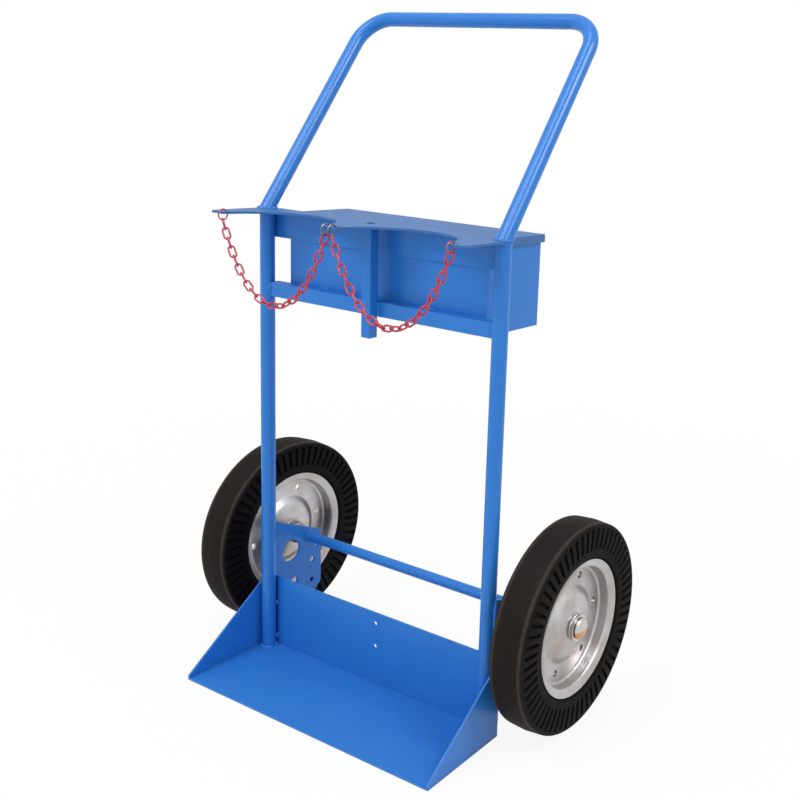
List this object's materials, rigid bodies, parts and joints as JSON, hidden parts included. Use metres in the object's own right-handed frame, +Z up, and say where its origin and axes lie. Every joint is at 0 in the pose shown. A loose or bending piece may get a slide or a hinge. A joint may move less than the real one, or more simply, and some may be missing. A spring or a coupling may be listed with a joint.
{
  "type": "gas cylinder trolley",
  "caption": "Upright tube-frame trolley for a pair of gas cylinders, with foot tray, half-round collar plate, retaining chains, lidded toolbox and solid-tyred wheels.",
  "frame": {"origin": "on the floor, on the underside of the foot tray, midway between the uprights and under their axes", "axes": "+Z up, -Y to the front where the cylinders stand, +X to the right as seen from the front"},
  "size_m": [0.7736, 0.4865, 1.2424],
  "materials": {
    "blue_paint": "sprayed blue gloss enamel on steel",
    "zinc_plate": "dull zinc plate on pressed steel",
    "black_rubber": "matt moulded black rubber",
    "red_paint": "red coated chain",
    "bright_steel": "bright ground steel"
  },
  "bodies": {
    "frame": {"left_upright": "blue_paint", "right_upright": "blue_paint", "handle": "blue_paint", "collar_plate": "blue_paint", "top_rail": "blue_paint", "lower_rail": "blue_paint", "centre_post": "blue_paint", "foot_tray": "blue_paint", "left_gusset": "blue_paint", "right_gusset": "blue_paint", "left_axle_bracket": "blue_paint", "right_axle_bracket": "blue_paint", "axle": "blue_paint", "toolbox": "blue_paint", "hinge_fixed_leaf": "blue_paint", "hinge_pin": "bright_steel", "left_spacer": "zinc_plate", "right_spacer": "zinc_plate", "left_washer": "zinc_plate", "right_washer": "zinc_plate", "left_axle_cap": "zinc_plate", "right_axle_cap": "zinc_plate"},
    "lid": {"toolbox_lid": "blue_paint", "hinge_lid_leaf": "blue_paint"},
    "left_wheel": {"left_tyre": "black_rubber", "left_rim_inner": "zinc_plate", "left_rim_outer": "zinc_plate", "left_hub": "zinc_plate"},
    "left_bearing": {"left_rollers": "bright_steel", "left_roller_cage": "bright_steel"},
    "left_chain": {"left_chain_links": "red_paint", "left_chain_outer_ring": "red_paint", "left_chain_inner_ring": "zinc_plate"},
    "right_wheel": {"right_tyre": "black_rubber", "right_rim_inner": "zinc_plate", "right_rim_outer": "zinc_plate", "right_hub": "zinc_plate"},
    "right_bearing": {"right_rollers": "bright_steel", "right_roller_cage": "bright_steel"},
    "right_chain": {"right_chain_links": "red_paint", "right_chain_outer_ring": "red_paint", "right_chain_inner_ring": "zinc_plate"}
  },
  "joints": [
    {"name": "lid_hinge", "type": "hinge", "parent": "frame", "child": "lid", "pos_m": [0, 0.02335, 0.86325], "axis": [1, 0, 0], "range_deg": [0, 100]},
    {"name": "left_wheel_spin", "type": "hinge", "parent": "frame", "child": "left_wheel", "pos_m": [-0.34791, 0.121, 0.19], "axis": [1, 0, 0], "continuous": true},
    {"name": "left_bearing_turn", "type": "hinge", "parent": "frame", "child": "left_bearing", "pos_m": [-0.34791, 0.121, 0.19], "axis": [1, 0, 0], "continuous": true},
    {"name": "left_chain_swing", "type": "hinge", "parent": "frame", "child": "left_chain", "pos_m": [-0.1275, -0.1134, 0.8655], "axis": [1, 0, 0], "range_deg": [-90, 25]},
    {"name": "right_wheel_spin", "type": "hinge", "parent": "frame", "child": "right_wheel", "pos_m": [0.34791, 0.121, 0.19], "axis": [1, 0, 0], "continuous": true},
    {"name": "right_bearing_turn", "type": "hinge", "parent": "frame", "child": "right_bearing", "pos_m": [0.34791, 0.121, 0.19], "axis": [1, 0, 0], "continuous": true},
    {"name": "right_chain_swing", "type": "hinge", "parent": "frame", "child": "right_chain", "pos_m": [0.1275, -0.1134, 0.8655], "axis": [1, 0, 0], "range_deg": [-90, 25]}
  ],
  "couplings": [
    {"joint": "left_bearing_turn", "follows": "left_wheel_spin", "ratio": 0.6016},
    {"joint": "right_bearing_turn", "follows": "right_wheel_spin", "ratio": 0.6016}
  ]
}
